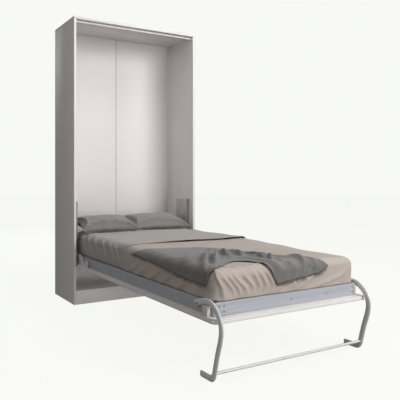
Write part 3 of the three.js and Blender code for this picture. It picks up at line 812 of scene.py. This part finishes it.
def along(route, t):
    """Points at shares t of a smooth line through the route."""
    line = np.array([tuple(v) for v in catmull_rom([(*p, 0) for p in route], 12)])[:, :2]
    run = np.concatenate([[0], np.cumsum(np.linalg.norm(np.diff(line, axis=0), axis=1))])
    return np.stack([np.interp(t * run[-1], run, line[:, i]) for i in range(2)], -1)


THROW_FAR = [(-0.49, -0.87), (-0.45, -0.97), (-0.36, -1.03), (-0.22, -1.07), (-0.11, -1.12), (-0.06, -1.24),
             (-0.02, -1.38), (0.05, -1.54), (0.14, -1.66), (0.25, -1.76)]
THROW_NEAR = [(-0.54, -1.68), (-0.49, -1.70), (-0.45, -1.71), (-0.40, -1.70), (-0.33, -1.64),
              (-0.25, -1.61), (-0.19, -1.65), (-0.155, -1.73), (-0.10, -1.835)]
THROW_HEM = [(-0.49, -0.87), (-0.50, -1.12), (-0.515, -1.30), (-0.53, -1.45), (-0.54, -1.68)]
THROW_END = [(0.25, -1.765), (0.19, -1.80), (0.06, -1.82), (-0.10, -1.835)]
# ridges of the bunched cloth: route on the unrolled bedding, half width and height in millimetres
THROW_RIDGES = (
    ([(-0.50, -1.56), (-0.36, -1.36), (-0.20, -1.22)], 42, 15),
    ([(-0.51, -1.71), (-0.44, -1.62), (-0.27, -1.39), (-0.19, -1.28)], 13, 27),
    ([(-0.45, -1.71), (-0.39, -1.64), (-0.24, -1.43), (-0.15, -1.32)], 13, 26),
    ([(-0.09, -1.17), (-0.20, -1.33), (-0.31, -1.48)], 17, 18),
    ([(-0.12, -1.27), (-0.19, -1.46), (-0.25, -1.59)], 14, 22),
    ([(-0.05, -1.30), (-0.12, -1.46), (-0.16, -1.61)], 14, 19),
    ([(-0.07, -1.41), (-0.05, -1.54), (-0.09, -1.67)], 13, 20),
    ([(-0.20, -1.66), (-0.16, -1.74), (-0.12, -1.82)], 12, 16),
    ([(0.00, -1.50), (-0.04, -1.63), (-0.10, -1.74)], 12, 16),
    ([(0.04, -1.66), (-0.06, -1.78)], 14, -7),
    ([(0.06, -1.60), (0.10, -1.71), (0.07, -1.81)], 13, 12),
    ([(0.10, -1.66), (0.17, -1.74), (0.15, -1.80)], 12, 10),
)


def throw_points(columns, rows):
    """Grid of the throw on the unrolled bedding, then folded down over its edges."""
    u = np.linspace(0, 1, columns)[:, None]
    v = np.linspace(0, 1, rows)[None, :]
    far, near = along(THROW_FAR, u[:, 0])[:, None], along(THROW_NEAR, u[:, 0])[:, None]
    hem, end = along(THROW_HEM, v[0])[None], along(THROW_END, v[0])[None]
    uu, vv = u[..., None], v[..., None]
    corners = ((1 - uu) * (1 - vv) * far[0, 0] + uu * (1 - vv) * far[-1, 0]
               + (1 - uu) * vv * near[0, 0] + uu * vv * near[-1, 0])
    plan = (1 - vv) * far + vv * near + (1 - uu) * hem + uu * end - corners
    lo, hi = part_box("duvet")
    out_x, drop_x = roll(-plan[..., 0], -lo.x + 6 * MM, COVER_EDGE)
    out_y, drop_y = roll(-plan[..., 1], -lo.y + 7 * MM, COVER_EDGE)
    crown = CROWN * (1 - np.abs(np.clip(out_x, -hi.x, hi.x) / hi.x) ** 2.4) * ramp(-out_y, lo.y, lo.y + 0.2)
    top = hi.z + crown * ramp(COVER_EDGE - np.maximum(drop_x, drop_y), 0, COVER_EDGE)
    hung = drop_x + drop_y
    top -= settle(-out_y) * np.clip(1 - hung / (hi.z - lo.z), 0, 1)
    points = np.stack([-out_x, -out_y, top - hung], -1)
    return points, plan, u, v


def throw_height(plan, u, v):
    """Loft of the throw over the bedding: bunched along its middle, flat where it hangs."""
    bunch = ramp(u, 0.36, 0.5) * (1 - 0.8 * ramp(u, 0.8, 0.95))
    rope = np.sin(math.tau * (3.2 * v + 0.4 * np.sin(4.2 * u + 0.4) + 1.1 * u))
    height = (5 + bunch * 12 * (0.5 + 0.5 * rope) ** 1.4) * MM
    places = plan.reshape(-1, 2)
    for route, width, rise in THROW_RIDGES:
        ridge = fold(places, route, width * MM, 1.15 * rise * MM, 0.45)
        height = height + ridge.reshape(plan.shape[:2])
    edge = ramp(v, 0, 0.16) * ramp(1 - v, 0, 0.05)
    return 4 * MM + (height - 4 * MM) * (0.3 + 0.7 * edge)


def clear_of(points, outward, below, gap):
    """Lifts each point along its outward direction until it is `gap` above the piece it rests on."""
    surface = bpy.data.objects[below].data
    tree = BVHTree.FromPolygons([v.co for v in surface.vertices], [p.vertices for p in surface.polygons])
    reach = 0.06
    for i, (point, direction) in enumerate(zip(points, outward)):
        ray = Vector(direction)
        spot, _, _, distance = tree.ray_cast(Vector(point) + ray * reach, -ray, 2 * reach)
        if spot is not None and reach - distance + gap > 0:
            points[i] += direction * (reach - distance + gap)


def build_throw():
    columns, rows = 210, 150
    points, plan, u, v = throw_points(columns, rows)
    du, dv = np.gradient(points, axis=0), np.gradient(points, axis=1)
    normal = np.cross(dv, du)
    normal /= np.maximum(np.linalg.norm(normal, axis=-1), 1e-9)[..., None]
    normal *= np.where(normal[..., 2:3] + 0.4 * (-normal[..., 0:1] - normal[..., 1:2]) < 0, -1, 1)
    points = points + normal * throw_height(plan, u, v)[..., None]
    flat_points = points.reshape(-1, 3)
    flat_points += normal.reshape(-1, 3) * (waves(flat_points, 21, 14, 0.05, 0.16) * 1.6 * MM)[:, None]
    clear_of(flat_points, normal.reshape(-1, 3), "duvet_cover", 5 * MM)
    faces = [(i * rows + j, (i + 1) * rows + j, (i + 1) * rows + j + 1, i * rows + j + 1)
             for i in range(columns - 1) for j in range(rows - 1)]
    mesh = cloth_mesh("throw_cloth", flat_points, faces, 2.4 * MM, 0)
    piece = new_object("throw_cloth", mesh, "bed", "throw_grey", stands_for=("throw_blanket",))
    grid = flat_points.reshape(columns, rows, 3)
    fringe = build_fringe(grid)


def build_fringe(grid):
    """Short tapering tassels along the hanging hem and along the far end."""
    rng = np.random.default_rng(5)
    verts, faces = [], []
    sides = 4

    def tassel(root, direction, length, width):
        base = len(verts)
        bend = rng.normal(size=3) * 0.18
        for k in range(4):
            t = k / 3
            centre = root + (direction + bend * t) * length * t
            for s in range(sides):
                a = math.tau * s / sides
                ring = np.array([math.cos(a), math.sin(a), 0]) * width * (1 - 0.6 * t)
                verts.append(centre + (ring if abs(direction[2]) > 0.5 else ring[[0, 2, 1]]))
        for k in range(3):
            for s in range(sides):
                a, b = base + k * sides + s, base + k * sides + (s + 1) % sides
                faces.append((a, b, b + sides, a + sides))
        faces.append(tuple(base + s for s in range(sides))[::-1])
        faces.append(tuple(base + 3 * sides + s for s in range(sides)))

    for row, inner in ((grid[0], grid[2]), (grid[-1], grid[-3])):
        count = 120
        for k in range(count):
            place = (k + 0.5) / count * (len(row) - 1)
            j = int(place)
            root = row[j] * (1 - place + j) + row[j + 1] * (place - j)
            direction = root - inner[j]
            direction /= np.linalg.norm(direction)
            tassel(root, direction, rng.uniform(13, 26) * MM, 2.1 * MM)
    mesh = bpy.data.meshes.new("throw_fringe")
    mesh.from_pydata([tuple(v) for v in verts], [], faces)
    mesh.shade_smooth()
    return new_object("throw_fringe", mesh, "bed", "throw_grey")


# ---- pillows -------------------------------------------------------------------------------------
def pillow_blank(width, depth, thick, columns, rows):
    """Two cloth faces sewn round the rim, slack before it is filled."""
    index, points, faces = {}, [], []

    def spot(i, j, face):
        rim = i in (0, columns) or j in (0, rows)
        key = (i, j, 0 if rim else face)
        if key not in index:
            index[key] = len(points)
            a, b = 2 * i / columns - 1, 2 * j / rows - 1
            swell = max(0, 1 - a * a) ** 0.85 * max(0, 1 - b * b) ** 0.6
            points.append((a * width / 2 * (0.92 + 0.08 * b * b), b * depth / 2 * (0.88 + 0.12 * a * a),
                           face * thick / 2 * swell))
        return index[key]

    for face in (1, -1):
        for i in range(columns):
            for j in range(rows):
                quad = [spot(i + di, j + dj, face) for di, dj in ((0, 0), (1, 0), (1, 1), (0, 1))]
                faces.append(quad if face == 1 else quad[::-1])
    return points, faces


def inflate(piece, pressure, frames, cap):
    """Swells a closed cloth with air. A point goes the way the air sends it, by at most `cap`, and
    nearly every point reaches that."""
    start = np.array([v.co for v in piece.data.vertices])
    air = piece.modifiers.new("air", "CLOTH")
    settings = air.settings
    settings.use_pressure = True
    settings.uniform_pressure_force = pressure
    settings.quality = 6
    settings.mass = 0.25
    settings.tension_stiffness = 18
    settings.compression_stiffness = 6
    settings.shear_stiffness = 6
    settings.bending_stiffness = 0.25
    settings.effector_weights.gravity = 0
    scene = bpy.context.scene
    scene.frame_start, scene.frame_end = 1, frames
    for number in range(1, frames + 1):
        scene.frame_set(number)
    bpy.context.view_layer.update()
    moved = piece.evaluated_get(bpy.context.evaluated_depsgraph_get()).to_mesh()
    end = np.array([v.co for v in moved.vertices])
    piece.modifiers.remove(air)
    step = end - start
    size = np.linalg.norm(step, axis=1)
    step *= np.minimum(1, cap / np.maximum(size, 1e-9))[:, None]
    for vertex, place in zip(piece.data.vertices, start + step):
        vertex.co = place
    scene.frame_set(1)


# creases that run in from a pillow's front edge: start and lean as shares of its length, then width
# and depth in millimetres
PILLOW_CREASES = ((-0.38, 0.12, 9, 7), (-0.24, 0.05, 8, 5), (-0.02, 0.10, 10, 7), (0.12, -0.06, 8, 5),
                  (0.30, -0.10, 9, 7), (0.40, -0.16, 8, 5))


def build_pillow(node, turn, seed, wider, shift):
    """Pillow in the place of a CAD one: `wider` and `shift` stretch and move it across the bed."""
    lo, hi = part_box(node)
    lo.x += shift - wider / 2
    hi.x += shift + wider / 2
    lo.z -= 17 * MM
    hi.z -= 12 * MM
    columns, rows = 46, 32
    points, faces = pillow_blank(hi.x - lo.x + 0.05, hi.y - lo.y + 0.05, 0.085, columns, rows)
    mesh = bpy.data.meshes.new(node + "_blank")
    mesh.from_pydata(points, [], faces)
    piece = bpy.data.objects.new(node + "_blank", mesh)
    bpy.context.scene.collection.objects.link(piece)
    inflate(piece, pressure=3.0, frames=18, cap=30 * MM)
    shape = np.array([v.co for v in mesh.vertices])
    lean = math.radians(13)                         # the back edge is propped higher than the front
    shape[:, 1:] = shape[:, 1:] @ np.array([[math.cos(lean), math.sin(lean)],
                                            [-math.sin(lean), math.cos(lean)]])
    low, high = shape.min(0), shape.max(0)
    target = np.array([1.02 * (hi.x - lo.x), hi.y - lo.y, hi.z - lo.z])
    shape = (shape - (low + high) / 2) * (target / (high - low))
    shape[:, 2] += waves(shape, seed, 10, 0.05, 0.14) * 1.8 * MM
    edge = -target[1] / 2
    for start, inward, width, depth in PILLOW_CREASES:
        route = [(start * target[0], edge + 0.01), ((start + inward) * target[0], 0.0)]
        crease = fold(shape[:, :2], route, width * MM, depth * MM, 0.4)
        shape[:, 2] -= crease * (shape[:, 2] > -0.03)
    rest = -target[2] / 2 + 14 * MM                 # flattened where it lies on the sheet
    shape[:, 2] = np.where(shape[:, 2] < rest, rest + (shape[:, 2] - rest) * 0.25, shape[:, 2])
    shape[:, 2] -= shape[:, 2].min() + target[2] / 2
    angle = math.radians(turn)
    spin = np.array([[math.cos(angle), -math.sin(angle), 0],
                     [math.sin(angle), math.cos(angle), 0],
                     [0, 0, 1]])
    shape = shape @ spin.T + np.array((lo + hi) / 2)
    for vertex, place in zip(mesh.vertices, shape):
        vertex.co = place
    finer = piece.modifiers.new("finer", "SUBSURF")
    finer.levels = finer.render_levels = 1
    done = new_object(node + "_cushion", baked(piece), "bed", "pillow_grey", stands_for=(node,))


build_mattress()
build_duvet()
build_sheet()
build_throw()
build_pillow("pillow_left", -4, 31, 30 * MM, -20 * MM)
build_pillow("pillow_right", -2, 32, 70 * MM, -28 * MM)
